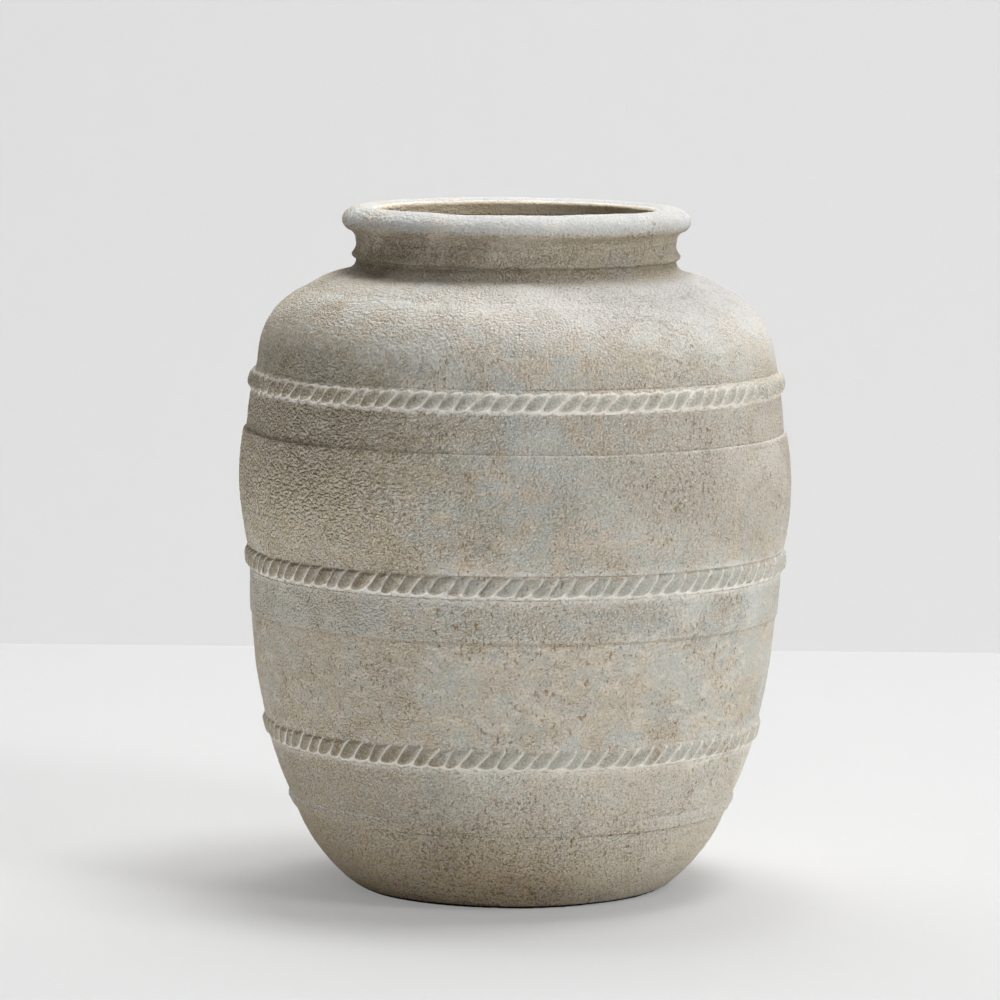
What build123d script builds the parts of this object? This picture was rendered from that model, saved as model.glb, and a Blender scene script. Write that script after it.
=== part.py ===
"""Storage jar of the Greek pithos kind, built in courses of clay with rope bands over the joints.

Millimetres. The jar stands on z = 0 with its axis on +Z, and -Y is the side seen first.
"""

import os
from math import atan2, cos, degrees, pi, radians, sin
from typing import NamedTuple

from build123d import *

# Heights of the courses, from the floor up
foot_height = 64.0
lower_height = 54.5
flank_height = 84.5
waist_height = 40.0
belly_height = 94.0
upper_height = 36.5
shoulder_height = 80.0
neck_height = 29.0
rim_height = 17.5

# Outer radii where the courses meet
foot_radius = 113.5
strip_radius = 161.0
lower_rope_radius = 180.0
flank_top_radius = 193.0
middle_rope_radius = 197.0
belly_top_radius = 199.0
neck_radius = 118.5
mouth_radius = 101.5

# How far each course bows out from a straight line between its joints
foot_bulge = 6.5
lower_bulge = 1.6
flank_bulge = 1.9
waist_bulge = 0.4
belly_bulge = 5.0
upper_bulge = 0.4
neck_hollow = 1.5

# Ledges: the waist overhangs the flank, and the upper wall stands back from the belly
waist_overhang = 1.3
upper_setback = 2.0

# Above the belly the wall draws in: by the upper rope, and by the turn of the shoulder under the neck
upper_taper = 3.8
shoulder_taper = 9.0
shoulder_drop = 25.5
shoulder_round = 58.0

# Wall, joints and floor
wall = 14.0
scarf_rise = 5.0
floor_thickness = 16.0
floor_bevel = 17.0
foot_ring = 18.5
foot_round = 4.0
foot_hollow = 1.5

# Rim roll
rim_overhang = 9.0
rim_nose_height = 7.5
rim_lip_width = 11.5
rim_lip_drop = 3.5
rim_edge_round = 2.5

# Bands over the joints: width along the wall, stand-off from it, and the key that is let into it
rope_width = 14.0
rope_proud = 4.2
rope_key = 2.5
rope_tuck = 0.8
lobe_pitch = 12.5
lobe_slant = 32.0
groove_width = 6.5
groove_depth = 2.8
strip_width = 10.0
strip_proud = 1.4
strip_key = 2.0
strip_round = 1.0
bead_width = 7.0
bead_proud = 3.2
bead_key = 2.0
bead_rise = 11.5

# Heights of the joints follow from the courses
strip_z = foot_height
lower_rope_z = strip_z + lower_height
flank_top_z = lower_rope_z + flank_height
middle_rope_z = flank_top_z + waist_height
belly_top_z = middle_rope_z + belly_height
upper_rope_z = belly_top_z + upper_height
neck_z = upper_rope_z + shoulder_height
rim_z = neck_z + neck_height
top_z = rim_z + rim_height


class Joint(NamedTuple):
    """A bevelled joint between two courses, with the outer radius of each and the jar's inner radius."""

    z: float
    below: float
    above: float
    inside: float
    lean: float

    def lower_face(self):
        """Points of the lower course's top edge, from the outside in."""
        return [(self.below, self.z)] + self.bevel()

    def upper_face(self):
        """Points of the upper course's bottom edge, from the outside in."""
        return [(self.above, self.z)] + self.bevel()

    def bevel(self):
        shared = min(self.below, self.above)
        return [(shared, self.z), (self.inside, self.z + scarf_rise)]

    def surface(self):
        """Plane across the wall at the joint: x points out of the wall, y up along it."""
        out = (cos(radians(self.lean)), 0, -sin(radians(self.lean)))
        return Plane(origin=(self.below, 0, self.z), x_dir=out, z_dir=(0, -1, 0))


def joint_at(z, below, above, previous, following):
    """A joint whose wall is square to the slope between the stations on either side of it."""
    lean = degrees(atan2(following[0] - previous[0], following[1] - previous[1]))
    inside = min(below, above) - wall / cos(radians(lean))
    return Joint(z, below, above, inside, lean)


# Radii that follow from them
waist_foot_radius = flank_top_radius + waist_overhang
upper_foot_radius = belly_top_radius - upper_setback
upper_rope_radius = upper_foot_radius - upper_taper
shoulder_radius = upper_rope_radius - shoulder_taper

# Stations of the outer face, as radius and height
foot_station = (foot_radius, 0)
strip_station = (strip_radius, strip_z)
lower_rope_station = (lower_rope_radius, lower_rope_z)
flank_station = (flank_top_radius, flank_top_z)
middle_rope_station = (middle_rope_radius, middle_rope_z)
belly_station = (belly_top_radius, belly_top_z)
upper_rope_station = (upper_rope_radius, upper_rope_z)
shoulder_station = (shoulder_radius, neck_z - shoulder_drop)


strip_joint = joint_at(strip_z, strip_radius, strip_radius, foot_station, lower_rope_station)
lower_rope_joint = joint_at(lower_rope_z, lower_rope_radius, lower_rope_radius, strip_station, flank_station)
flank_joint = joint_at(
    flank_top_z, flank_top_radius, waist_foot_radius, lower_rope_station, middle_rope_station
)
middle_rope_joint = joint_at(
    middle_rope_z, middle_rope_radius, middle_rope_radius, flank_station, belly_station
)
belly_joint = joint_at(
    belly_top_z, belly_top_radius, upper_foot_radius, middle_rope_station, upper_rope_station
)
upper_rope_joint = joint_at(
    upper_rope_z, upper_rope_radius, upper_rope_radius, belly_station, shoulder_station
)
neck_joint = Joint(neck_z, neck_radius, neck_radius, mouth_radius, 0)
rim_joint = Joint(rim_z, neck_radius, neck_radius, mouth_radius, 0)

os.makedirs("parts", exist_ok=True)


def band_seat(joint, width, key):
    """The ring of clay that is cut from the wall for a band, square across the joint that the band covers."""
    with BuildPart() as seat:
        with BuildSketch(joint.surface()):
            Rectangle(2 * key, width)
        revolve(axis=Axis.Z)
    return seat.part


def keep(piece, name):
    piece.part.label = name
    export_step(piece.part, f"parts/{name}.step")


def wall_course(name, low, high, bulge, seats):
    """One course of the wall: a bowed section between two bevelled joints, turned about the axis."""
    bottom = low.upper_face()
    top = high.lower_face()
    with BuildPart() as course:
        with BuildSketch(Plane.XZ):
            with BuildLine():
                SagittaArc(bottom[0], top[0], -bulge)
                Polyline(*dict.fromkeys(top))
                SagittaArc(top[-1], bottom[-1], bulge)
                Polyline(*dict.fromkeys(reversed(bottom)))
            make_face()
        revolve(axis=Axis.Z)
        add(seats, mode=Mode.SUBTRACT)
    keep(course, name)
    return course


def rope_band(name, joint):
    """A clay strip keyed into the wall, with slanted grooves that part it into the lobes of a rope."""
    half = rope_width / 2
    count = round(2 * pi * (joint.below + rope_proud) / lobe_pitch)
    with BuildPart() as groove:
        slant = radians(lobe_slant)
        plane = joint.surface()
        along = plane.y_dir * cos(slant) - plane.z_dir * sin(slant)
        crest = plane.origin + plane.x_dir * rope_proud
        across = along.cross(plane.x_dir)
        with BuildSketch(Plane(origin=crest, x_dir=across, z_dir=along)):
            with BuildLine():
                Polyline((-groove_width / 2, 0), (groove_width / 2, 0), (0, groove_depth), close=True)
            make_face()
        extrude(amount=rope_width, both=True)
    with BuildPart() as band:
        with BuildSketch(joint.surface()):
            with BuildLine():
                Polyline((-rope_tuck, -half), (-rope_key, -half), (-rope_key, half), (-rope_tuck, half))
                ThreePointArc((-rope_tuck, half), (rope_proud, 0), (-rope_tuck, -half))
            make_face()
        revolve(axis=Axis.Z)
        with PolarLocations(0, count):
            add(groove.part, mode=Mode.SUBTRACT)
    keep(band, name)
    return band


# Floor disc: a plug with a bevelled edge, held by the foot wall and hollowed a little underneath
seat_radius = foot_radius - foot_ring
floor_radius = seat_radius + floor_bevel
plug_radius = seat_radius + floor_bevel * foot_hollow / floor_thickness
with BuildPart() as base_slab:
    with BuildSketch(Plane.XZ):
        with BuildLine():
            Polyline(
                (0, foot_hollow),
                (plug_radius, foot_hollow),
                (floor_radius, floor_thickness),
                (0, floor_thickness),
                close=True,
            )
        make_face()
    revolve(axis=Axis.Z)
keep(base_slab, "base_slab")

# Foot wall: stands on a ring round the floor disc and flares out to the flat strip
strip_seat = band_seat(strip_joint, strip_width, strip_key)
with BuildPart() as foot_wall:
    with BuildSketch(Plane.XZ) as foot_section:
        edge = strip_joint.bevel()
        with BuildLine():
            SagittaArc(foot_station, edge[0], -foot_bulge)
            Line(edge[0], edge[1])
            SagittaArc(edge[1], (floor_radius, floor_thickness), foot_bulge)
            Polyline((floor_radius, floor_thickness), (seat_radius, 0), foot_station)
        make_face()
        fillet(foot_section.vertices().sort_by_distance((foot_radius, 0, 0))[0], foot_round)
    revolve(axis=Axis.Z)
    add(strip_seat, mode=Mode.SUBTRACT)
keep(foot_wall, "foot_wall")

# Five courses from the flat strip to the upper rope
lower_seat = band_seat(lower_rope_joint, rope_width, rope_key)
middle_seat = band_seat(middle_rope_joint, rope_width, rope_key)
upper_seat = band_seat(upper_rope_joint, rope_width, rope_key)
lower_wall = wall_course("lower_wall", strip_joint, lower_rope_joint, lower_bulge, [strip_seat, lower_seat])
flank_wall = wall_course("flank_wall", lower_rope_joint, flank_joint, flank_bulge, [lower_seat])
waist_wall = wall_course("waist_wall", flank_joint, middle_rope_joint, waist_bulge, [middle_seat])
belly_wall = wall_course("belly_wall", middle_rope_joint, belly_joint, belly_bulge, [middle_seat])
upper_wall = wall_course("upper_wall", belly_joint, upper_rope_joint, upper_bulge, [upper_seat])

# Shoulder: turns in from the upper rope to the neck, one wall thick throughout
low_edge = upper_rope_joint.bevel()
high_edge = neck_joint.bevel()
rise = (Vector(*shoulder_station) - Vector(*upper_rope_station)).normalized()
run = (Vector(*high_edge[0]) - Vector(*shoulder_station)).normalized()
rise_side = Vector(-rise.Y, rise.X)
run_side = Vector(-run.Y, run.X)
turn_inside = Vector(*shoulder_station) + (rise_side + run_side) * (wall / (1 + rise_side.dot(run_side)))
mouth_edge = turn_inside + run * ((turn_inside.X - mouth_radius) / -run.X)
with BuildPart() as shoulder_wall:
    with BuildSketch(Plane.XZ):
        with BuildLine():
            FilletPolyline(upper_rope_station, shoulder_station, high_edge[0], radius=shoulder_round)
            Polyline(high_edge[0], high_edge[1], mouth_edge)
            FilletPolyline(mouth_edge, turn_inside, low_edge[1], radius=shoulder_round - wall)
            Line(low_edge[1], low_edge[0])
        make_face()
    revolve(axis=Axis.Z)
    add(upper_seat, mode=Mode.SUBTRACT)
keep(shoulder_wall, "shoulder_wall")

# Neck: a short hollow-sided collar with a seat for its bead
bead_joint = Joint(neck_z + bead_rise, neck_radius, neck_radius, mouth_radius, 0)
bead_seat = band_seat(bead_joint, bead_width, bead_key + neck_hollow)
with BuildPart() as neck_collar:
    with BuildSketch(Plane.XZ):
        low_edge = neck_joint.bevel()
        high_edge = rim_joint.bevel()
        with BuildLine():
            SagittaArc(low_edge[0], high_edge[0], neck_hollow)
            Polyline(high_edge[0], high_edge[1], low_edge[1], low_edge[0])
        make_face()
    revolve(axis=Axis.Z)
    add(bead_seat, mode=Mode.SUBTRACT)
keep(neck_collar, "neck_collar")

# Bead: a half-round ring let into the neck
with BuildPart() as neck_bead:
    with BuildSketch(bead_joint.surface()):
        half = bead_width / 2
        back = -bead_key - neck_hollow
        with BuildLine():
            Polyline((-neck_hollow, -half), (back, -half), (back, half), (-neck_hollow, half))
            ThreePointArc((-neck_hollow, half), (bead_proud - neck_hollow, 0), (-neck_hollow, -half))
        make_face()
    revolve(axis=Axis.Z)
keep(neck_bead, "neck_bead")

# Rim: a thick roll that overhangs the neck, domed on top and rounded into the mouth
with BuildPart() as rim_roll:
    with BuildSketch(Plane.XZ) as rim_section:
        edge = rim_joint.bevel()
        nose = (neck_radius + rim_overhang, rim_z + rim_nose_height)
        crest = (mouth_radius + rim_lip_width, top_z)
        lip = (mouth_radius, top_z - rim_lip_drop)
        with BuildLine():
            TangentArc(nose, edge[0], tangent=(0, -1))
            EllipticalCenterArc((crest[0], nose[1]), nose[0] - crest[0], crest[1] - nose[1])
            TangentArc(crest, lip, tangent=(-1, 0))
            Polyline(lip, edge[1], edge[0])
        make_face()
        fillet(rim_section.vertices().sort_by_distance((*lip, 0))[0], rim_edge_round)
    revolve(axis=Axis.Z)
keep(rim_roll, "rim_roll")

# Rope bands and the flat strip, each in the seat that is cut across its joint
lower_rope = rope_band("lower_rope", lower_rope_joint)
middle_rope = rope_band("middle_rope", middle_rope_joint)
upper_rope = rope_band("upper_rope", upper_rope_joint)

with BuildPart() as foot_strip:
    with BuildSketch(strip_joint.surface()) as strip_section:
        with Locations(((strip_proud - strip_key) / 2, 0)):
            Rectangle(strip_proud + strip_key, strip_width)
        fillet(strip_section.vertices().group_by(Axis.X)[-1], strip_round)
    revolve(axis=Axis.Z)
keep(foot_strip, "foot_strip")
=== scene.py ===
import math

import bpy
import numpy as np
from mathutils import Matrix, Vector


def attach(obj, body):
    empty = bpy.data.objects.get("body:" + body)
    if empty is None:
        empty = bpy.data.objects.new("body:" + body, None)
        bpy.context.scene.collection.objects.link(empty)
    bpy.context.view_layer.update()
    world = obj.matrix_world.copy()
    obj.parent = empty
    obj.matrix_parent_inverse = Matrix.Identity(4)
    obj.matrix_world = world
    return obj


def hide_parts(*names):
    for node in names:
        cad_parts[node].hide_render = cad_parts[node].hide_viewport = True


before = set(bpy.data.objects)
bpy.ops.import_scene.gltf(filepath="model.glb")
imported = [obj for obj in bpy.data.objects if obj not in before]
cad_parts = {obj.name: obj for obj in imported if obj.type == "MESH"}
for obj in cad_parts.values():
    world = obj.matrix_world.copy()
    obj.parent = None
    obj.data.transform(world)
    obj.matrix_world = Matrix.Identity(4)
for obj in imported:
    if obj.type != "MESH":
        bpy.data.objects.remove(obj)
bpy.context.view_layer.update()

# Floor disc: a plug of coarse bare clay 16 mm thick, beaten flat and dropped into the bevelled foot.
# It shows from underneath, and from above through the mouth. The finish of all the clay starts here:
# a grey-beige body under a thin pale wash that was brushed on and rubbed back.


class Clay:
    """One socket of a finish. Sums on it add Math nodes, and node() adds any other node."""

    def __init__(self, tree, socket):
        self.tree = tree
        self.socket = socket

    def node(self, kind, inputs, out=0, **settings):
        made = self.tree.nodes.new(kind)
        for name, value in settings.items():
            setattr(made, name, value)
        for name, value in inputs.items():
            if isinstance(value, Clay):
                self.tree.links.new(value.socket, made.inputs[name])
            else:
                made.inputs[name].default_value = value
        return Clay(self.tree, made.outputs[out]) if made.outputs else None

    def math(self, operation, first, second):
        return self.node("ShaderNodeMath", {0: first, 1: second}, operation=operation)

    def __add__(self, other):
        return self.math("ADD", self, other)

    def __radd__(self, other):
        return self.math("ADD", other, self)

    def __sub__(self, other):
        return self.math("SUBTRACT", self, other)

    def __rsub__(self, other):
        return self.math("SUBTRACT", other, self)

    def __mul__(self, other):
        return self.math("MULTIPLY", self, other)

    def __rmul__(self, other):
        return self.math("MULTIPLY", other, self)

    def noise(self, scale, detail=3.0, roughness=0.55, stretch=None, shift=0.0):
        """A noise of that many waves a metre, or as many along each axis as stretch gives."""
        sockets = {"Vector": self, "Location": (shift, shift, shift), "Scale": stretch or (scale,) * 3}
        place = self.node("ShaderNodeMapping", sockets)
        grain = {"Vector": place, "Scale": 1.0, "Detail": detail, "Roughness": roughness}
        return self.node("ShaderNodeTexNoise", grain)

    def cells(self, stretch, warp):
        """Rounded grains with creases between them, as many a metre along each axis as stretch gives."""
        place = self.node("ShaderNodeMapping", {"Vector": self, "Scale": stretch})
        bend = self.node("ShaderNodeTexNoise", {"Vector": place, "Scale": 0.7, "Detail": 2.0}, out="Color")
        sockets = {0: bend, 1: (warp,) * 3, 2: place}
        place = self.node("ShaderNodeVectorMath", sockets, operation="MULTIPLY_ADD")
        return 1 - self.node("ShaderNodeTexVoronoi", {"Vector": place, "Scale": 1.0}, out="Distance")

    def fade(self, low, high):
        """0 up to low, 1 from high, and smooth between."""
        sockets = {"Value": self, "From Min": low, "From Max": high}
        return self.node("ShaderNodeMapRange", sockets, interpolation_type="SMOOTHSTEP")

    def choose(self, colour, other):
        """colour where this mask is 0, and other where it is 1."""
        sockets = {0: self, 6: colour, 7: other}
        return self.node("ShaderNodeMix", sockets, out=2, data_type="RGBA")


def tint(red, green, blue):
    """A colour written in the usual 0 to 255 of a screen."""
    parts = [value / 255 for value in (red, green, blue)]
    return (*(p / 12.92 if p < 0.04045 else ((p + 0.055) / 1.055) ** 2.4 for p in parts), 1.0)


blue_wash = tint(204, 205, 198)
peach_wash = tint(226, 211, 189)
cream_wash = tint(233, 223, 206)
olive_wash = tint(192, 186, 166)
# Light warm tan for the shaded left: stain with painted warm fill light.
left_tan = tint(212, 196, 164)
low_tan = tint(236, 220, 187)
upper_tan = tint(176, 162, 134)
shoulder_tan = tint(154, 143, 120)
flank_grey = tint(170, 166, 154)
# Warm tan for the bottom: the clay's colour with painted warm shade.
foot_tan = tint(246, 214, 160)
foot_pale = tint(252, 247, 230)
neck_tan = tint(200, 186, 158)
neck_brown = tint(160, 143, 113)
neck_cream = tint(226, 213, 191)
rim_grey = tint(196, 198, 197)
dust = tint(216, 213, 210)
crown_cream = tint(226, 222, 216)
# Grey painted shade for the right of the shoulder's crown.
crown_painted_shade = tint(184, 183, 182)
# White for wash in the cuts and for painted highlight on lit edges.
white_wash = tint(240, 236, 228)
grit_dark = tint(132, 125, 106)
grit_pale = tint(246, 242, 232)
pit_dark = tint(92, 84, 68)
# Near black, painted contact shadow along the foot's lowest few millimetres.
painted_contact_shadow = tint(14, 12, 10)
ochre = tint(164, 136, 78)
pock_tan = tint(156, 142, 112)
# Brown for dirt and painted shade in creases and joints.
crease_brown = tint(120, 100, 68)
lobe_grey = tint(169, 168, 158)
lobe_brown = tint(126, 114, 91)
bare_taupe = tint(220, 207, 183)
bare_brown = tint(200, 184, 156)


def clay_finish(name, depth=1.0):
    """Washed clay where the mesh is marked skin, else bare clay. wash, dirt and lobe are marks as well: the
    first carries white wash and painted highlight, the second dirt and painted shade.
    """
    material = bpy.data.materials.new(name)
    material.use_nodes = True
    tree = material.node_tree
    tree.nodes.clear()
    here = Clay(tree, tree.nodes.new("ShaderNodeTexCoord").outputs["Object"])
    skin, wash, dirt, lobe = (
        here.node("ShaderNodeAttribute", {}, out="Fac", attribute_name=mark)
        for mark in ("skin", "wash", "dirt", "lobe")
    )
    across = here.node("ShaderNodeSeparateXYZ", {"Vector": here}, out="X")
    height = here.node("ShaderNodeSeparateXYZ", {"Vector": here}, out="Z")

    # Tones and grains, from the widest to the finest.
    patch = here.noise(7.5, 4.0, 0.6)
    crowd = here.noise(13.0, 3.0, 0.6, shift=5.0)
    cloud = here.noise(26.0, 5.0, 0.6, shift=3.0)
    daub = here.noise(75.0, 4.0, 0.6, shift=31.0)
    brushed = here.noise(1.0, 4.0, 0.6, (9.0, 9.0, 70.0)).fade(0.38, 0.66)
    drips = here.noise(1.0, 3.0, 0.6, (60.0, 60.0, 8.0)).fade(0.5, 0.7)
    wrinkle = here.cells((280.0, 280.0, 410.0), 1.3)
    lump = here.cells((620.0, 620.0, 620.0), 1.6)
    sand = here.noise(1100.0, 1.0, 0.5)

    # Zones of the jar, and how rough its clay is in each.
    leftward = (across * -1.0).fade(-0.04, 0.16)
    front = across.fade(-0.1, -0.04) * (1 - across.fade(0.03, 0.09))
    foot_zone = 1 - height.fade(0.03, 0.14)
    foot_front = foot_zone * front
    flank = height.fade(0.13, 0.15) * (1 - height.fade(0.19, 0.21))
    waist = height.fade(0.2, 0.206) * (1 - height.fade(0.23, 0.25))
    belly = height.fade(0.24, 0.31) * (1 - height.fade(0.36, 0.42))
    left_belly = leftward * belly
    right_belly = belly * across.fade(-0.08, 0.06)
    on_top = height.fade(0.38, 0.42)
    rim = height.fade(0.484, 0.491)
    collar = (height + (cloud - 0.5) * 0.012).fade(0.449, 0.456) * (1 - rim)
    rough = 0.7 + (cloud - 0.5) * 2.4 + (patch - 0.5) * 1.2
    rough = rough + left_belly * 0.6 + right_belly * 0.25 + collar * 0.6 + foot_zone * 0.6 - flank * 0.5
    rough = rough - (height.fade(0.36, 0.44) * across.fade(-0.05, 0.1) + lobe) * 0.35 - rim * 0.6
    rough = rough.fade(0.0, 1.3)

    # The wash: blue-grey and peach; warm tan on the left, partly stain and partly painted warm fill light
    # on the shaded side; paler at the foot; dusty on the shoulder, with painted shade on its crown's right.
    warm = (patch - 0.5) * 1.5 + (cloud - 0.5) * 2.2 + (daub - 0.5) * 2.8
    warm = warm + (brushed - 0.5) * 0.3 + drips * 0.15
    colour = (warm + 0.5).fade(0.0, 1.0).choose(blue_wash, peach_wash)
    olive = here.noise(20.0, 5.0, 0.65, shift=13.0) + left_belly * 0.1
    colour = (olive.fade(0.5, 0.66) * 0.6).choose(colour, olive_wash)
    blue = here.noise(12.0, 4.0, 0.6, shift=7.0).fade(0.5, 0.62) * (0.4 + brushed * 0.6)
    colour = (blue * 0.7).choose(colour, blue_wash)
    # Warm tan over the shaded left: partly stain, partly painted warm fill light.
    tan_and_warm_fill = leftward * (0.6 + belly * 0.35) + (cloud - 0.5) * 0.8 + (daub - 0.5) * 0.8
    tan = (height.fade(0.21, 0.25) * (1 - height.fade(0.29, 0.34))).choose(left_tan, low_tan)
    tan = height.fade(0.332, 0.345).choose(tan, upper_tan)
    tan = height.fade(0.375, 0.395).choose(tan, shoulder_tan)
    colour = (tan_and_warm_fill.fade(0.0, 1.0) * 0.75).choose(colour, tan)
    colour = (flank * 0.34).choose(colour, flank_grey)
    colour = (waist * 0.4).choose(colour, blue_wash)
    colour = (right_belly * across.fade(0.0, 0.12) * 0.65).choose(colour, cream_wash)
    colour = ((1 - height.fade(0.09, 0.14)) * (0.55 - leftward * 0.5)).choose(colour, foot_pale)
    # Warm tan near the bottom, less on the right: partly the clay's colour, partly painted warm shade.
    low = 1 - (height + (patch - 0.5) * 0.05).fade(0.015, 0.1)
    colour = (low * (0.85 - across.fade(-0.02, 0.09) * 0.65 - leftward * 0.4)).choose(colour, foot_tan)
    # Dust on the shoulder. Its crown is painted greyer towards the right, where the lamps light it most:
    # painted shade.
    dust_and_crown_shade = height.fade(0.395, 0.44) * (0.9 - leftward * 0.7)
    crown = across.fade(-0.02, 0.13).choose(crown_cream, crown_painted_shade)
    colour = dust_and_crown_shade.choose(colour, height.fade(0.4, 0.445).choose(dust, crown))
    plastered = (leftward * 1.2 - (daub - 0.5) * 1.5).fade(0.0, 1.0).choose(neck_tan, neck_brown)
    plastered = (cloud - leftward * 0.08).fade(0.46, 0.6).choose(plastered, neck_cream)
    colour = (collar * 0.85 * (1 - blue * 0.5)).choose(colour, plastered)
    colour = (rim * (0.85 - cloud.fade(0.5, 0.62) * 0.6)).choose(colour, rim_grey)
    plaster = here.noise(1.0, 4.0, 0.62, (75.0, 75.0, 150.0), 41.0) + (crowd - 0.5) * 0.5
    clinging = plaster.fade(0.5, 0.64) * 0.45 * (1 - lobe) * (1 - height.fade(0.38, 0.43) * 0.7)
    colour = clinging.choose(colour, cream_wash)
    lobed = leftward * 0.8 + (daub - 0.5) * 1.5 + 0.3 - height.fade(0.13, 0.2) * 0.3
    lobed = lobed.fade(0.1, 1.0).choose(lobe_grey, lobe_brown)
    colour = (lobe * 0.92).choose(colour, lobed)

    # Grit, rust specks, pits, pocks and chips.
    grain = (lump - 0.5) * 0.8 + (sand - 0.5) * 0.6
    gritty = 0.15 + rough * 0.25 + foot_front * 0.25
    colour = ((0.0 - grain).fade(0.03, 0.3) * gritty).choose(colour, grit_dark)
    colour = (grain.fade(0.0, 0.14) * gritty).choose(colour, grit_pale)
    rusty = here.noise(1.0, 3.0, 0.65, (400.0, 400.0, 230.0), 17.0) + (crowd - 0.5) * 0.3 + drips * 0.03
    rusty = rusty + collar * 0.015 + foot_front * 0.03 - height.fade(0.34, 0.4) * (1 - collar) * 0.04
    rusty = rusty.fade(0.64, 0.68)
    holed = (here.noise(360.0, 3.0, 0.68, shift=23.0) + (cloud - 0.5) * 0.15).fade(0.69, 0.73)
    pocked = here.noise(540.0, 2.0, 0.6, shift=29.0) + (crowd - 0.5) * 0.25 + (daub - 0.5) * 0.3
    pocked = pocked.fade(0.6, 0.66) * (1 - lobe * 0.5) * (1 - rim * 0.8)
    pocked = pocked * (1 - waist * 0.5) * (0.5 + rough * 0.5)
    colour = (pocked * 0.42).choose(colour, pock_tan)
    chipped = here.noise(1.0, 3.0, 0.65, (220.0, 220.0, 170.0), 37.0) + (crowd - 0.5) * 0.2
    chipped = chipped + foot_front * 0.075 - height.fade(0.3, 0.4) * 0.03
    chipped = chipped.fade(0.68, 0.71)
    colour = (rusty.math("MAXIMUM", rusty, chipped) * 0.75).choose(colour, ochre)
    colour = (holed * 0.8).choose(colour, pit_dark)

    # Dirt and painted shade in the joints and creases, more on the shaded left; white wash in the cuts,
    # with painted highlight on lit edges; bare clay inside; and painted contact shadow, near black, where
    # the foot meets the floor.
    broken = here.noise(45.0, 4.0, 0.7)
    # Crease brown from the dirt mark: dirt and painted shade, stronger on the shaded left.
    crease = (dirt + (broken - 0.5) * 1.2).fade(0.2, 0.9) * dirt.fade(0.0, 0.4)
    colour = (crease * (0.35 - across.fade(-0.1, 0.06) * 0.15)).choose(colour, crease_brown)
    # White where wash lodged in the cuts, and painted highlight on lit edges and lobe tops.
    wash_and_highlight_lines = (wash + (broken - 0.5) * 0.7 + grain * 0.3).fade(0.2, 0.75) * wash.fade(0.0, 0.25)
    colour = (wash_and_highlight_lines * 0.95).choose(colour, white_wash)

    bare = cloud.fade(0.35, 0.65).choose(bare_brown, bare_taupe)
    bare = ((0.0 - grain).fade(0.03, 0.3) * 0.3).choose(bare, grit_dark)
    bare = (holed * 0.9).choose(bare, crease_brown)
    colour = skin.choose(bare, colour)
    # Painted contact shadow: the foot's lowest 3 mm turn near black where it meets the floor.
    colour = ((1 - height.fade(0.0014, 0.003)) * skin).choose(colour, painted_contact_shadow)

    # Relief too fine for the mesh.
    dried = left_belly * (2.8 - height.fade(0.332, 0.345))
    wrinkles = wrinkle * (0.25 + dried + on_top * (leftward * 0.7 - 0.1) + foot_front * 2.0)
    grains = 0.45 + rough * 1.3 + right_belly * 0.35 + collar * 0.7 + foot_front * 0.4
    grains = lump * grains * (1 - left_belly * 0.5) * (1 - on_top * 0.35)
    relief = (wrinkles + grains) * (1 - lobe * 0.6) * (1 - wash * 0.6) * depth
    relief = relief - (holed + rusty + pocked) * 0.5 - chipped * 0.8
    bump = here.node("ShaderNodeBump", {"Height": relief, "Distance": 0.0016, "Strength": 1.0})
    sockets = {
        "Base Color": colour,
        "Roughness": 0.88 + (sand - 0.5) * 0.2,
        "Normal": bump,
        "Specular IOR Level": 0.25,
    }
    here.node("ShaderNodeOutputMaterial", {"Surface": here.node("ShaderNodeBsdfPrincipled", sockets)})
    return material


def worn(piece, size, depth, group="", kind="CLOUDS"):
    """Press an uneven surface into a piece: lumps, or ridged wrinkles, of that size and depth in metres."""
    texture = bpy.data.textures.new(piece.name + "_lumps", kind)
    texture.noise_scale = size
    if kind == "MUSGRAVE":
        texture.musgrave_type = "RIDGED_MULTIFRACTAL"
        texture.octaves = 2
        texture.noise_intensity = 0.5
    press = piece.modifiers.new("press", "DISPLACE")
    press.texture = texture
    press.texture_coords = "LOCAL"
    press.strength = depth
    press.mid_level = 0.5
    press.vertex_group = group
    bpy.ops.object.select_all(action="DESELECT")
    piece.select_set(True)
    bpy.context.view_layer.objects.active = piece
    bpy.ops.object.modifier_apply(modifier=press.name)


def fit(piece, node, finish):
    """Give a piece its finish and set it in the frame, in place of its CAD node."""
    piece.data.materials.clear()
    piece.data.materials.append(finish)
    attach(piece, "root")
    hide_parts(node)


floor_top = 0.016
floor_hollow = 0.0015
plug_radius = 0.0965
floor_radius = 0.112
bare_clay = clay_finish("bare_clay")
bpy.ops.object.select_all(action="DESELECT")
bpy.ops.mesh.primitive_cone_add(
    vertices=180,
    radius1=plug_radius,
    radius2=floor_radius,
    depth=floor_top - floor_hollow,
    location=(0, 0, (floor_top + floor_hollow) / 2),
)
floor_disc = bpy.context.object
floor_disc.name = floor_disc.data.name = "floor_disc"
bpy.ops.object.transform_apply(location=True, rotation=True, scale=True)
for face in floor_disc.data.polygons:
    face.select = abs(face.normal.z) > 0.9
bpy.ops.object.mode_set(mode="EDIT")
for ring in range(22):
    bpy.ops.mesh.inset(thickness=0.0042, depth=0)
bpy.ops.object.mode_set(mode="OBJECT")
worn(floor_disc, 0.03, 0.0014)
bpy.ops.object.shade_smooth_by_angle(angle=0.6)
fit(floor_disc, "base_slab", bare_clay)

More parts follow.
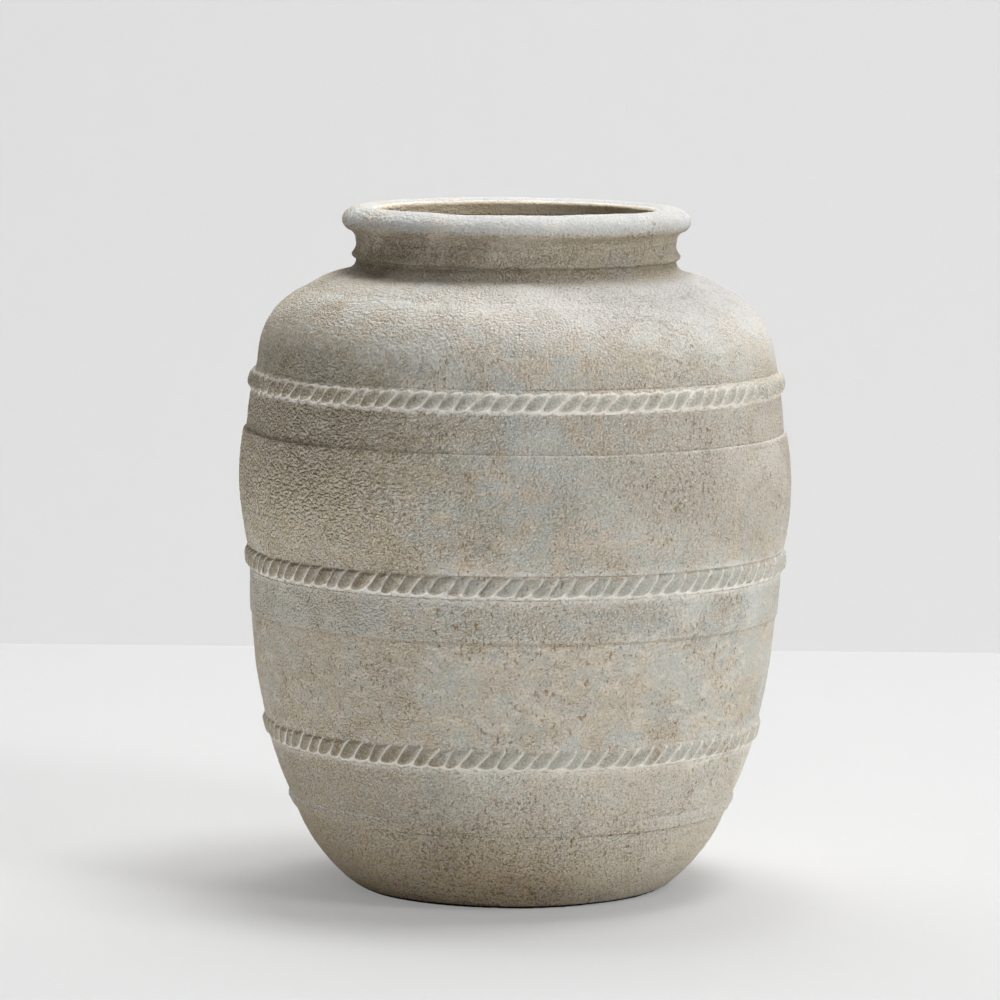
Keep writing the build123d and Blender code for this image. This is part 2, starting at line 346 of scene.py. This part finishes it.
# Foot: the first course, a ring of clay that flares from the floor to the flat strip. It is a section
# turned about the axis, with close-set rows on the outside, where it was scraped and brushed.
wall = 0.014
scarf = 0.005
row = 0.0012
turns = 960
foot = Vector((0.1135, 0.0))
strip = Vector((0.161, 0.064))
foot_round = 0.0022
foot_bulge = 0.0065


def bowed(start, end, bow, step=row):
    """Points of a shallow arc from start to end, bowed out of the wall to the right of its way."""
    count = max(2, round((end - start).length / step))
    side = Vector((end.y - start.y, start.x - end.x)).normalized()
    shares = [i / count for i in range(count + 1)]
    return [start.lerp(end, share) + side * (bow * 4 * share * (1 - share)) for share in shares]


def arc(centre, radii, start, end, step=row):
    """Points of an ellipse's arc, with its angles in degrees."""
    turn = math.radians(end - start)
    count = max(3, round(abs(turn) * max(radii) / step))
    angles = [math.radians(start) + turn * i / count for i in range(count + 1)]
    return [Vector(centre) + Vector((radii[0] * math.cos(a), radii[1] * math.sin(a))) for a in angles]


def turned(name, skin, back, columns=turns, **marks):
    """A ring turned about the axis from its skin and its plain back. A mark maps a skin point to 0..1."""
    points = skin + back
    bpy.ops.object.select_all(action="DESELECT")
    bpy.ops.mesh.primitive_circle_add(vertices=len(points), fill_type="NOTHING")
    ring = bpy.context.object
    ring.name = ring.data.name = name
    for vertex, point in zip(ring.data.vertices, points):
        vertex.co = (point.x, 0, point.y)
    ring.vertex_groups.new(name="outside").add(range(len(skin)), 1.0, "REPLACE")
    marks["skin"] = None
    for mark, strength in marks.items():
        values = ring.data.attributes.new(mark, "FLOAT", "POINT").data
        for i in range(len(skin)):
            values[i].value = strength(points[i]) if strength else 1.0
    wheel = ring.modifiers.new("wheel", "SCREW")
    wheel.steps = wheel.render_steps = columns
    wheel.use_merge_vertices = True
    wheel.merge_threshold = 1e-6
    bpy.ops.object.modifier_apply(modifier=wheel.name)
    bpy.ops.object.mode_set(mode="EDIT")
    bpy.ops.mesh.select_all(action="SELECT")
    bpy.ops.mesh.remove_doubles(threshold=1e-6)
    bpy.ops.mesh.normals_make_consistent(inside=False)
    bpy.ops.object.mode_set(mode="OBJECT")
    bpy.ops.object.shade_smooth()
    return ring


def vertex_places(ring):
    """The vertices of a ring, a row of x, y and z each."""
    flat = np.empty(len(ring.data.vertices) * 3)
    ring.data.vertices.foreach_get("co", flat)
    return flat.reshape(-1, 3)


def faded_across(ring, mark, gone, full):
    """Fade a mark across the jar, from -1 at its left to 1: gone at one place and full at another."""
    at = vertex_places(ring)
    across = at[:, 0] / np.maximum(np.hypot(at[:, 0], at[:, 1]), 1e-6)
    share = np.clip((across - gone) / (full - gone), 0, 1)
    values = np.empty(len(at))
    ring.data.attributes[mark].data.foreach_get("value", values)
    ring.data.attributes[mark].data.foreach_set("value", values * share * share * (3 - 2 * share))


def wrinkled(ring, depth):
    """Coarse wrinkles where the clay dried fast: the left of the belly, and weaker elsewhere."""
    at = vertex_places(ring)
    left = np.clip((0.05 - at[:, 0]) / 0.17, 0, 1)
    belly = np.clip((at[:, 2] - 0.23) / 0.05, 0, 1) * np.clip((0.43 - at[:, 2]) / 0.06, 0, 1)
    weight = np.round(10 * (0.3 + 0.7 * left * belly)).astype(int)
    weight[np.array([not vertex.groups for vertex in ring.data.vertices])] = 0
    zone = ring.vertex_groups.new(name="wrinkles")
    for level in range(1, 11):
        zone.add(np.flatnonzero(weight == level).tolist(), level / 10, "REPLACE")
    worn(ring, 0.0075, depth, "wrinkles", kind="MUSGRAVE")


waist_sag = 0.0032
rope_sag = 0.002


def settled(ring):
    """The jar sagged a little as it dried: its left side is drawn in at the waist and at the upper rope."""
    at = vertex_places(ring)
    reach = np.hypot(at[:, 0], at[:, 1])
    left = np.clip(-at[:, 0] / np.maximum(reach, 1e-6), 0, 1) ** 2
    drawn = waist_sag * np.exp(-(((at[:, 2] - 0.25) / 0.045) ** 2))
    drawn += rope_sag * np.exp(-(((at[:, 2] - 0.385) / 0.025) ** 2))
    at[:, :2] *= (1 - left * drawn / np.maximum(reach, 1e-6))[:, None]
    ring.data.vertices.foreach_set("co", at.ravel())
    ring.data.update()


def uneven(ring):
    """The unevenness of a hand-built wall: its sag, slow waves and finger lumps."""
    settled(ring)
    worn(ring, 0.16, 0.0022, "outside")
    worn(ring, 0.034, 0.0012, "outside")


def scraped(ring, grit=0.0012):
    """An uneven wall that was scraped, with wrinkles of that depth."""
    uneven(ring)
    wrinkled(ring, grit)


def inner(point, lean=0.0):
    """The inside end of the bevelled joint at a point of the outer face."""
    return Vector((point.x - wall / math.cos(math.radians(lean)), point.y + scarf))


def near(point, reach):
    """A mark that is 1 at the height of a point and fades out over reach."""

    def mark(p):
        return max(0.0, 1 - abs(p.y - point.y) / reach)

    return mark


washed_clay = clay_finish("washed_clay")
strip_lap = 0.0038
strip_lean = 29.0
foot_line = [p for p in bowed(foot, strip, foot_bulge) if p.y > foot_round]
foot_skin = arc((foot.x - foot_round + 0.0008, foot_round), (foot_round, foot_round), -90, -18)
foot_skin += [p for p in foot_line if p.y < strip.y - strip_lap]
foot_back = [foot_skin[-1] - Vector((0.002, -0.0008)), strip - Vector((0.002, 0))]
foot_back += bowed(inner(strip, strip_lean), Vector((floor_radius, floor_top)), -foot_bulge, 0.006)
foot_back += [Vector((foot.x - 0.0185, 0.0))]
# The foot is darker along its lowest 6 mm.
foot_ring = turned("foot_course", foot_skin, foot_back, dirt=near(foot, 0.006))
scraped(foot_ring)
fit(foot_ring, "foot_wall", washed_clay)

# Courses: five rings of clay, each set on the last while that was still damp. The waist overhangs
# the flank by a fingernail, and the upper wall stands back on the belly's edge: those ledges show.
rope_lap = 0.0076
ledge_round = 0.0011
ledge_sink = Vector((0.0002, 0.0006))
lower_rope = Vector((0.180, 0.1185))
flank_top = Vector((0.193, 0.203))
waist_foot = Vector((0.1943, 0.203))
middle_rope = Vector((0.197, 0.243))
belly_top = Vector((0.199, 0.337))
upper_foot = Vector((0.197, 0.337))
upper_rope = Vector((0.1932, 0.3735))


def smeared(joint, strength):
    """A mark of wash that was rubbed off a rope band onto the wall beside it."""

    def mark(p):
        return strength * min(1.0, max(0.0, 1 - (abs(p.y - joint.y) - 0.0095) / 0.007))

    return mark


def course(name, node, low, high, bow, low_lap, high_lap, **marks):
    """A course between two joints. Its skin stops a lap short of a joint under a band; a ledge has none."""
    line = bowed(low, high, bow)
    skin = [p for p in line if low.y + low_lap <= p.y < high.y - max(high_lap, ledge_round)]
    tuck = Vector((0.003, 0))
    if high_lap:
        back = [skin[-1] - tuck, high - tuck]
    else:
        skin += arc(high - Vector((ledge_round, ledge_round)), (ledge_round, ledge_round), 15, 90, 0.0004)
        back = [high - tuck]
    back += bowed(inner(high), inner(low), -bow, 0.008)
    back += [low - tuck, skin[0] - tuck] if low_lap else [low - tuck - ledge_sink, low - ledge_sink]
    ring = turned(name, skin, back, **marks)
    scraped(ring)
    fit(ring, node, washed_clay)
    return ring


def belly_wash(point):
    """White wash and painted highlight on the belly's ledge, and wash off the rope below it."""
    return 0.68 * near(belly_top, 0.002)(point) + smeared(middle_rope, 0.5)(point)


def upper_dirt(point):
    """Dirt and painted shade in the corner where the upper wall stands on the ledge."""
    return 0.7 * near(upper_foot, 0.009)(point)


lower_marks = {"wash": smeared(lower_rope, 0.5)}
course("lower_course", "lower_wall", strip, lower_rope, 0.0016, strip_lap, rope_lap, **lower_marks)
flank_marks = {"wash": smeared(lower_rope, 0.35), "dirt": near(flank_top, 0.0028)}
course("flank_course", "flank_wall", lower_rope, flank_top, 0.0019, rope_lap, 0, **flank_marks)
waist_marks = {"wash": smeared(middle_rope, 0.55), "dirt": near(waist_foot, 0.0012)}
course("waist_course", "waist_wall", waist_foot, middle_rope, 0.0004, 0, rope_lap, **waist_marks)
belly_marks = {"dirt": near(belly_top, 0.002), "wash": belly_wash}
belly_ring = course("belly_course", "belly_wall", middle_rope, belly_top, 0.005, rope_lap, 0, **belly_marks)
# On the belly's ledge the white is kept off the shaded left and the dark is kept to it: painted highlight
# and painted shade, with wash and dirt.
faded_across(belly_ring, "wash", -0.42, -0.18)
faded_across(belly_ring, "dirt", -0.45, -0.8)
upper_marks = {"wash": smeared(upper_rope, 0.3), "dirt": upper_dirt}
upper_ring = course(
    "upper_course", "upper_wall", upper_foot, upper_rope, 0.0004, 0, rope_lap, **upper_marks
)
# The dark corner at the upper wall's foot is kept to the shaded left: painted shade, with dirt.
faded_across(upper_ring, "dirt", -0.45, -0.8)

# Shoulder: the seventh course, turned in by hand over the belly to carry the neck. Its top lies
# nearly flat and faces the light.
neck_foot = Vector((0.1185, 0.4535))
shoulder = Vector((0.1842, 0.428))
shoulder_round = 0.058
mouth_radius = 0.1015


def rounded(start, corner, end, radius, step=row, bow=0.0):
    """Points of two runs with their corner rounded. The second run may be bowed."""
    before, after = (start - corner).normalized(), (end - corner).normalized()
    half = before.angle(after) / 2
    centre = corner + (before + after).normalized() * (radius / math.sin(half))
    enter = corner + before * (radius / math.tan(half))
    leave = corner + after * (radius / math.tan(half))
    first, last = (math.degrees(math.atan2(p.y - centre.y, p.x - centre.x)) for p in (enter, leave))
    bend = arc(centre, (radius, radius), first, last, step)
    return bowed(start, enter, 0, step)[:-1] + bend + bowed(leave, end, bow, step)[1:]


shoulder_bow = 0.0026
shoulder_skin = rounded(upper_rope, shoulder, neck_foot, shoulder_round, bow=shoulder_bow)
shoulder_skin = [p for p in shoulder_skin if p.y > upper_rope.y + rope_lap]
shoulder_in = Vector((0.1727, 0.4158))
shoulder_back = [neck_foot - Vector((0.002, 0.0005)), Vector((mouth_radius, neck_foot.y + scarf))]
shoulder_back += rounded(
    Vector((mouth_radius, 0.4451)), shoulder_in, inner(upper_rope), shoulder_round - wall, 0.006
)
shoulder_back += [upper_rope - Vector((0.003, 0)), shoulder_skin[0] - Vector((0.003, 0))]
shoulder_turns = 780
shoulder_ring = turned("shoulder_course", shoulder_skin, shoulder_back, shoulder_turns)
scraped(shoulder_ring, 0.0014)
fit(shoulder_ring, "shoulder_wall", washed_clay)

# Neck: a short hollow-sided collar set on the shoulder's edge, with a half-round bead let into it
# and a thick rolled rim on top. The rim overhangs, and its inner lip is drawn to an edge.
rim_foot = Vector((0.1185, 0.4825))
neck_hollow = 0.0015
bead_z = 0.465
bead_half = 0.0035
bead_proud = 0.0032
fine = 0.0008
neck_sink = Vector((0, 0.003))
neck_fillet = Vector((0.0085, 0.0095))


def filleted(point):
    """A point of the neck, moved out where the neck runs into the shoulder."""
    share = max(0.0, 1 - (point.y - neck_foot.y + neck_sink.y) / neck_fillet.y)
    return point + Vector((neck_fillet.x * share**2, 0))


neck_line = [filleted(p) for p in bowed(neck_foot - neck_sink, rim_foot, -neck_hollow, fine)]
neck_skin = [p for p in neck_line if p.y < rim_foot.y - 0.0002]
neck_back = [rim_foot - Vector((0.002, 0)), Vector((mouth_radius, rim_foot.y + scarf))]
neck_back += bowed(neck_back[-1], Vector((mouth_radius, neck_foot.y + scarf)), 0, 0.004)[1:]
neck_back += [neck_foot - Vector((0.002, 0))]
# Darker just under the bead, on the neck: ochre dirt and painted shade under the bead's overhang.
neck_ring = turned("neck_course", neck_skin, neck_back, dirt=near(Vector((0, 0.4592)), 0.0028))
scraped(neck_ring, 0.0004)
fit(neck_ring, "neck_collar", washed_clay)

bead_centre = Vector((neck_foot.x - neck_hollow, bead_z))
bead_nose = bead_centre + Vector((bead_proud, 0))
flare_top = Vector((neck_foot.x - 0.0009, 0.4756))
flare_dip = 0.0016
flare = []
for share in np.linspace(0, 1, 10)[1:]:
    flare.append(bead_nose.lerp(flare_top, share) - Vector((flare_dip * math.sin(math.pi * share), 0)))
bead_skin = arc(bead_centre, (bead_proud, bead_half), -90, 0, 0.0006) + flare
bead_back = [Vector((bead_centre.x - 0.003, z)) for z in (flare_top.y, bead_z, bead_z - bead_half)]
# Darker on the bead's underside: dirt and painted shade under its overhang.
bead_ring = turned("bead_ring", bead_skin, bead_back, dirt=near(Vector((0, bead_z - bead_half)), 0.0025))
scraped(bead_ring, 0.0005)
fit(bead_ring, "neck_bead", washed_clay)

nose_radius = 0.007625
nose = Vector((0.1275, 0.490))
crest = Vector((0.113, 0.500))
dome_radius = 0.02064
lip = Vector((0.1032, 0.4972))
hollow_radius = 0.008
hollow = Vector((0.1256, 0.47546))
rim_skin = arc(hollow, (hollow_radius, hollow_radius), 180, 111.5, fine)[:-1]
rim_skin += arc(nose - Vector((nose_radius, 0)), (nose_radius, nose_radius), -68.5, 0, fine)[:-1]
rim_skin += arc((crest.x, nose.y), (nose.x - crest.x, crest.y - nose.y), 0, 90, fine)[:-1]
rim_skin += arc(crest - Vector((0, dome_radius)), (dome_radius, dome_radius), 90, 117, fine)
rim_back = arc(lip - Vector((-0.0004, 0.0021)), (0.0021, 0.0021), 125, 180, 0.0004)
rim_back += bowed(Vector((mouth_radius, 0.4948)), Vector((mouth_radius, rim_foot.y + scarf)), 0, 0.0012)
rim_back += [rim_foot - Vector((0.002, 0)), hollow - Vector((hollow_radius + 0.001, 0))]


def lip_wash(point):
    """Wash left on the inner lip of the rim."""
    return max(0.0, 1 - (point.x - 0.1028) / 0.004) * 0.8


rim_ring = turned("rim_ring", rim_skin, rim_back, wash=lip_wash)
scraped(rim_ring, 0.0004)
fit(rim_ring, "rim_roll", washed_clay)

# Flat strip: a ribbon of clay 10 mm wide pressed over the joint of the foot and smoothed down with
# the thumb, so that it all but vanishes in places.
strip_half = 0.005
strip_flange = 0.0074
strip_proud = 0.0019
strip_round = 0.0011


def slope(lean):
    """Unit vectors out of the wall and up along it, for a wall that leans out by so many degrees."""
    turn = math.radians(lean)
    return Vector((math.cos(turn), -math.sin(turn))), Vector((math.sin(turn), math.cos(turn)))


def unmarked(point):
    return 0.0


def band_blank(name, joint, lean, flange, step, columns):
    """A plain ring on the wall across a joint, ready to be pressed, with its key let into the wall."""
    out, up = slope(lean)
    rows = round(2 * flange / step)
    skin = [joint + up * (flange * (2 * i / rows - 1)) for i in range(rows + 1)]
    back = [joint + up * side * flange - out * 0.0028 for side in (1, 0, -1)]
    ring = turned(name, skin, back, columns, wash=unmarked, dirt=unmarked, lobe=unmarked)
    uneven(ring)
    return ring


def places(ring, joint, lean):
    """Of each vertex: its place, its angle about the axis, its way up from the joint and its skin mark."""
    at = vertex_places(ring)
    out, up = slope(lean)
    reach = np.hypot(at[:, 0], at[:, 1])
    rise = (reach - joint.x) * up.x + (at[:, 2] - joint.y) * up.y
    skin = np.empty(len(at))
    ring.data.attributes["skin"].data.foreach_get("value", skin)
    return at, np.arctan2(at[:, 1], at[:, 0]), rise, skin


def press(ring, at, angle, lift, lean, **marks):
    """Move each vertex out of the wall by lift, and write the marks."""
    out, up = slope(lean)
    at[:, 0] += np.cos(angle) * out.x * lift
    at[:, 1] += np.sin(angle) * out.x * lift
    at[:, 2] += out.y * lift
    ring.data.vertices.foreach_set("co", at.ravel())
    for mark, values in marks.items():
        ring.data.attributes[mark].data.foreach_set("value", values)
    ring.data.update()


def waves(angle, counts, seed):
    """A slow seeded curve round the jar, about -1 to 1, of that many waves."""
    draw = np.random.default_rng(seed)
    shifts = draw.uniform(0, 2 * math.pi, len(counts))
    return sum(np.sin(angle * count + shift) for count, shift in zip(counts, shifts)) / len(counts)


strip_ring = band_blank("strip_band", strip, strip_lean, strip_flange, 0.0006, 1200)
at, angle, rise, skin = places(strip_ring, strip, strip_lean)
edge = strip_half + 0.0006 * waves(angle, (7, 19, 43), 3)
front = np.cos(angle + math.pi / 2)
body = np.clip((edge - np.abs(rise)) / strip_round, 0, 1)
body = body * body * (3 - 2 * body)
kept = np.clip(1.1 - np.clip(front - 0.78, 0, 1) / 0.17 + 0.2 * waves(angle, (3, 5, 11), 4), 0.05, 1)
tail = np.clip((np.abs(rise) - edge) / (strip_flange - edge), 0, 1)
lift = skin * (body * kept * strip_proud + 0.0002 - 0.0008 * tail)
rim_line = skin * kept * np.exp(-(((np.abs(rise) - edge) / strip_round) ** 2))
strip_wash = np.clip(rim_line * 0.6 + skin * kept * body * 0.22, 0, 1)
# A dark line just under the strip's lower edge: painted shade under the raised ribbon.
strip_dirt = skin * kept * np.exp(-(((rise + edge + 0.0012) / 0.0008) ** 2)) * 0.7
press(strip_ring, at, angle, lift, strip_lean, wash=strip_wash, dirt=strip_dirt)
worn(strip_ring, 0.006, 0.0005, "outside", kind="MUSGRAVE")
fit(strip_ring, "foot_strip", washed_clay)

# Rope bands: a strip of clay pressed over each joint and cut across with slanting strokes, so that it
# looks like a laid rope. White wash lodged in the cuts, and was rubbed off the lobes. A pale line along
# each lobe's top is painted highlight with some wash, and on the flat bands painted shade darkens the
# crease above the lobes.
rope_half = 0.0068
rope_flange = 0.0102
rope_proud = 0.0040
lobe_columns = 20
lobe_pitch_mm = 12.5
lobe_slant = 0.42
strand_slant = 0.6
rope_clay = clay_finish("rope_clay", depth=0.5)


def rope(name, node, joint, lean, count, roundness, seed, fades=0.0):
    """A rope band. roundness is 1 for twisted strands and 0 for flat lobes; fades rubs out its sides."""
    ring = band_blank(name, joint, lean, rope_flange, 0.0006, count * lobe_columns)
    at, angle, rise, skin = places(ring, joint, lean)
    draw = np.random.default_rng(seed)
    across = rise / rope_half
    twist = np.arcsin(np.clip(across * 0.97, -0.97, 0.97)) / (math.pi / 2)
    leaning = strand_slant * roundness * twist + lobe_slant * (1 - roundness) * np.clip(across, -1.2, 1.2)
    phase = angle / (2 * math.pi) * count - leaning + 0.16 * waves(angle, (23, 37, 61), seed)
    lobe_at = np.floor(phase).astype(int) % count
    share = phase - np.floor(phase)
    tall = draw.uniform(0.8, 1.08, count)[lobe_at]
    wide = draw.uniform(0.93, 1.05, count)[lobe_at]
    high = draw.uniform(-0.05, 0.05, count)[lobe_at]
    swell = np.abs(np.sin(math.pi * share))
    dome = swell ** (0.75 if roundness > 0.5 else 0.45)
    scallop = 0.26 * (1 - swell**0.7)
    above = across - high - wide * (1 - scallop * roundness)
    below = high - across - wide * (1 - scallop)
    reach = np.where(across > high, 1 + above / wide, 1 + below / wide)
    crown = np.clip(1 - np.clip(reach, 0, 2) ** (2.4 if roundness > 0.5 else 5.0), 0, 1) ** 0.6
    face = crown * dome
    faded = fades * np.clip((np.abs(np.cos(angle)) - 0.6) / 0.35, 0, 1)
    keep = 1 - faded * (0.8 + 0.2 * waves(angle, (9, 17, 31), seed + 1))
    tail = np.clip((np.abs(rise) - rope_half) / (rope_flange - rope_half), 0, 1)
    smear = 0.00045 + 0.0003 * waves(angle, (29, 53, 97, 151), seed + 2)
    lift = rope_proud * tall * face * keep + smear * (1 - tail) - 0.001 * tail**2
    cut_width = 0.95 + 1.9 * np.clip((-across - 0.3) / 0.7, 0, 1) ** 1.5
    from_cut = np.minimum(share, 1 - share) * lobe_pitch_mm
    cut = np.exp(-((from_cut / cut_width) ** 2)) * (above < 0.1) * (below < 0.1)
    spread = 0.34 + 0.12 * waves(angle, (31, 47, 83, 131), seed + 3)
    seam_low = np.exp(-((np.where(below > 0, below / spread, below / 0.07)) ** 2))
    seam_low *= 0.9 + 0.3 * waves(angle, (11, 27, 41), seed + 4)
    # A pale line along the top edge of each lobe: painted highlight, strongest on the round rope, with some
    # wash.
    top_highlight_and_wash = np.exp(-((np.where(above > 0, above / 0.12, above / (0.1 + 0.28 * roundness))) ** 2))
    top_highlight_and_wash *= 0.15 + 0.45 * roundness
    wash = np.clip(cut + seam_low + top_highlight_and_wash, 0, 1)
    # A dark crease along the top of flat lobes: painted shade under the wall above, with dirt.
    dirt = np.exp(-((above / 0.13) ** 2)) * (1 - roundness)
    press(ring, at, angle, lift * skin, lean, wash=wash * skin, dirt=dirt * skin, lobe=face * keep * skin)
    worn(ring, 0.005, 0.0003, "outside", kind="MUSGRAVE")
    fit(ring, node, rope_clay)
    return ring


for name, joint, lean, count, seed, fades in (
    ("lower_rope", lower_rope, 13.0, 93, 21, 0.55),
    ("middle_rope", middle_rope, 2.6, 101, 22, 0.25),
):
    flat_rope = rope(name + "_band", name, joint, lean, count, 0.0, seed, fades)
    # The crease's painted shade is kept to the shaded left and centre of the flat ropes.
    faded_across(flat_rope, "dirt", 0.15, -0.6)
top_rope = rope("upper_rope_band", "upper_rope", upper_rope, -9.3, 99, 1.0, 23)
faded_across(top_rope, "wash", 1.3, 0.5)

# Studio: a pale floor, and a pale wall that only shows from its front. Most light comes from two large soft
# lamps on the right and one overhead, and four weaker lamps and a faint sky fill it in. The camera stands
# four metres off with a long lens, a little above the rim.
scene = bpy.context.scene
scene.view_settings.view_transform = "Standard"


def grey(level):
    return (level, level, level, 1)


def in_view(tree):
    """1 for what the camera sees, straight or in a gloss, and 0 for light on its way to the jar."""
    rays = tree.nodes.new("ShaderNodeLightPath").outputs
    seen = Clay(tree, rays["Is Camera Ray"])
    for kind in ("Is Glossy Ray", "Is Transmission Ray"):
        seen = seen.math("MAXIMUM", seen, Clay(tree, rays[kind]))
    return seen


def paint(name, level, seen_level, own_light):
    """Matt paint on the front of a sheet: its level for light, its level in view and a tone added to it."""
    material = bpy.data.materials.new(name)
    material.use_nodes = True
    tree = material.node_tree
    tree.nodes.clear()
    seen = in_view(tree)
    matt = seen.node("ShaderNodeBsdfDiffuse", {"Color": seen.choose(grey(level), grey(seen_level))})
    glow = seen.node("ShaderNodeEmission", {"Color": seen.choose(grey(0), grey(own_light))})
    painted = seen.node("ShaderNodeAddShader", {0: matt, 1: glow})
    behind = seen.node("ShaderNodeNewGeometry", {}, out="Backfacing")
    sides = {0: behind, 1: painted, 2: seen.node("ShaderNodeBsdfTransparent", {})}
    seen.node("ShaderNodeOutputMaterial", {"Surface": seen.node("ShaderNodeMixShader", sides)})
    return material


bpy.ops.object.select_all(action="DESELECT")
bpy.ops.mesh.primitive_plane_add(size=10, location=(0, -3.75, 0))
floor = bpy.context.object
floor.name = "floor"
floor.data.materials.append(paint("floor_paint", 0.95, 0.445, 0.23))
bpy.ops.mesh.primitive_plane_add(size=10, location=(0, 1.25, 4.5), rotation=(math.pi / 2, 0, 0))
backdrop = bpy.context.object
backdrop.name = "backdrop"
backdrop.data.materials.append(paint("wall_paint", 0.8, 0.265, 0.505))


def lamp(name, side, height, distance, size, power):
    """A round soft lamp that looks at the jar, placed in degrees right of the front and above level."""
    aim = Vector((0, 0, 0.25))
    turn, lift = math.radians(side), math.radians(height)
    way = Vector((math.cos(lift) * math.sin(turn), -math.cos(lift) * math.cos(turn), math.sin(lift)))
    data = bpy.data.lights.new(name, "AREA")
    data.shape = "DISK"
    data.size = size
    data.energy = power
    light = bpy.data.objects.new(name, data)
    scene.collection.objects.link(light)
    facing = way.to_track_quat("Z", "Y").to_matrix().to_4x4()
    light.matrix_world = Matrix.Translation(aim + way * distance) @ facing


lamp("overhead", 180, 80, 4.2, 1.0, 41)
lamp("overhead_right", 90, 75, 7.0, 2.5, 235)
lamp("key", 50, 35, 7.2, 1.95, 158)
lamp("front", 0, 30, 3.5, 0.9, 7)
lamp("low_right", 80, 14, 4.8, 3.2, 12)
lamp("back", 180, 60, 2.2, 1.0, 12)
lamp("left_back", -135, 70, 2.4, 0.9, 5)
world = bpy.data.worlds.new("studio")
scene.world = world
world.use_nodes = True
world.node_tree.nodes.clear()
sky_seen = in_view(world.node_tree)
sky = sky_seen.node("ShaderNodeBackground", {"Color": sky_seen.choose(grey(0.04), grey(0.75))})
sky_seen.node("ShaderNodeOutputWorld", {"Surface": sky})

stand = (-0.0103, -4.0936, 0.7421)
look_down = 6.39
lean_left = 0.55
camera_data = bpy.data.cameras.new("camera")
camera_data.sensor_width = 36
camera_data.lens = 201.6
camera = bpy.data.objects.new("camera", camera_data)
scene.collection.objects.link(camera)
tilt = Matrix.Rotation(math.radians(90 - look_down), 4, "X")
roll = Matrix.Rotation(math.radians(lean_left), 4, "Z")
camera.matrix_world = Matrix.Translation(stand) @ tilt @ roll
scene.camera = camera
